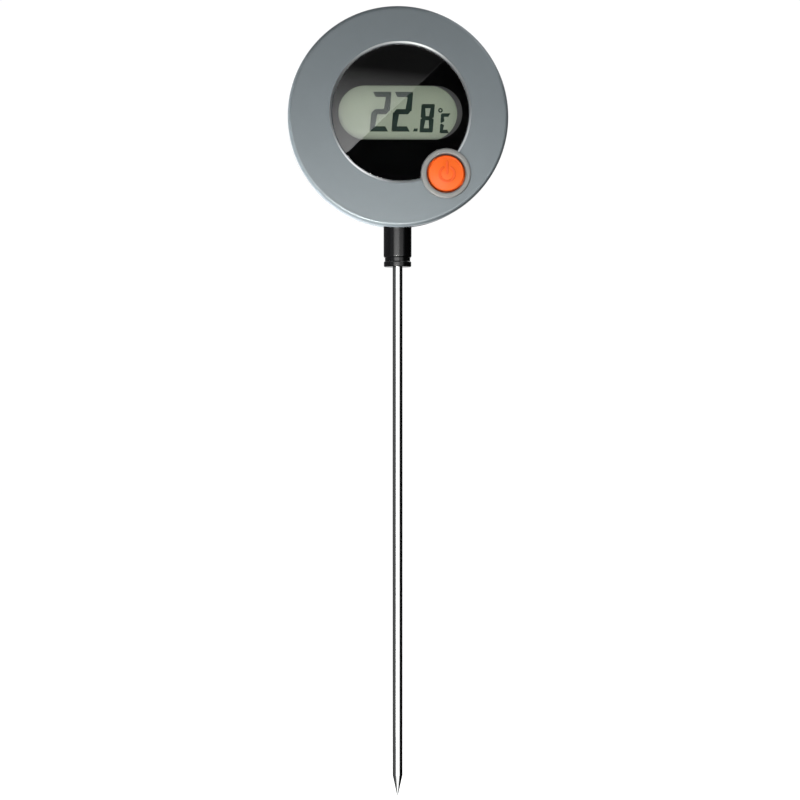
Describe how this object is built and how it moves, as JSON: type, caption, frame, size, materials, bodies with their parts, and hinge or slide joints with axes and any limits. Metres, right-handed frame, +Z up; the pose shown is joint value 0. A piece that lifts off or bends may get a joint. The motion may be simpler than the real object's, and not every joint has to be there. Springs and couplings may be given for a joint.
{
  "type": "soil thermometer",
  "caption": "Digital soil thermometer: round display head with a push button, black ferrule and a long pointed steel probe.",
  "frame": {"origin": "on the stem's axis at the ferrule's lower face, where the bare probe stem begins", "axes": "+Z up the stem towards the head, -Y out of the display, +X to the right of someone reading it"},
  "size_m": [0.0834, 0.0224, 0.3],
  "materials": {
    "head_shell": "satin metallic blue-grey",
    "rear_shell": "fine-textured blue-grey",
    "collar": "satin light grey",
    "lens": "clear polished acrylic",
    "mask": "gloss black print",
    "button": "satin orange",
    "carbon_rubber": "matte",
    "silicone": "matte translucent",
    "black_plastic": "matte black",
    "lcd_face": "grey-green film",
    "lcd_glass": "clear float glass",
    "reflector": "diffuse foil",
    "foam": "closed-cell foam",
    "board": "green solder resist",
    "epoxy": "cured black epoxy",
    "chip_ceramic": "fired tan ceramic",
    "seal_rubber": "matte black",
    "bright_steel": "bright plated",
    "contact_brass": "bright",
    "ferrule": "gloss black",
    "probe_steel": "polished stainless",
    "wire": "smooth insulation",
    "potting": "filled thermal resin"
  },
  "bodies": {
    "housing": {"front_bezel": "head_shell", "button_collar": "collar", "window_lens": "lens", "window_mask": "mask", "lens_tape": "foam", "button_dome": "silicone", "lcd_frame": "black_plastic", "lcd_front_polarizer": "lcd_face", "lcd_front_glass": "lcd_glass", "lcd_rear_glass": "lcd_glass", "lcd_reflector": "reflector", "lcd_foam_pad": "foam", "zebra_strip": "silicone", "circuit_board": "board", "controller_blob": "epoxy", "timing_crystal": "bright_steel", "chip_capacitors": "chip_ceramic", "chip_resistors": "epoxy", "housing_gasket": "seal_rubber", "rear_housing": "rear_shell", "housing_screws": "bright_steel", "coin_cell": "bright_steel", "battery_contact_negative": "contact_brass", "battery_contact_positive": "contact_brass", "neck_ferrule": "ferrule", "neck_oring": "seal_rubber", "neck_nut": "contact_brass", "stem_tube": "probe_steel", "stem_tip": "probe_steel", "thermistor_bead": "epoxy", "sensor_leads": "wire", "thermal_potting": "potting"},
    "power_button": {"power_button": "button", "contact_pill": "carbon_rubber"},
    "battery_door": {"battery_door": "rear_shell", "battery_door_seal": "seal_rubber"}
  },
  "joints": [
    {"name": "button_press", "type": "slide", "parent": "housing", "child": "power_button", "axis": [0, 1, 0], "range_m": [0, 0.001], "stiffness_N_per_m": 2000, "deforming": ["button_dome"]},
    {"name": "battery_door_twist", "type": "hinge", "parent": "housing", "child": "battery_door", "pos_m": [0, 0, 0.0565], "axis": [0, 1, 0], "range_deg": [0, 35]}
  ]
}
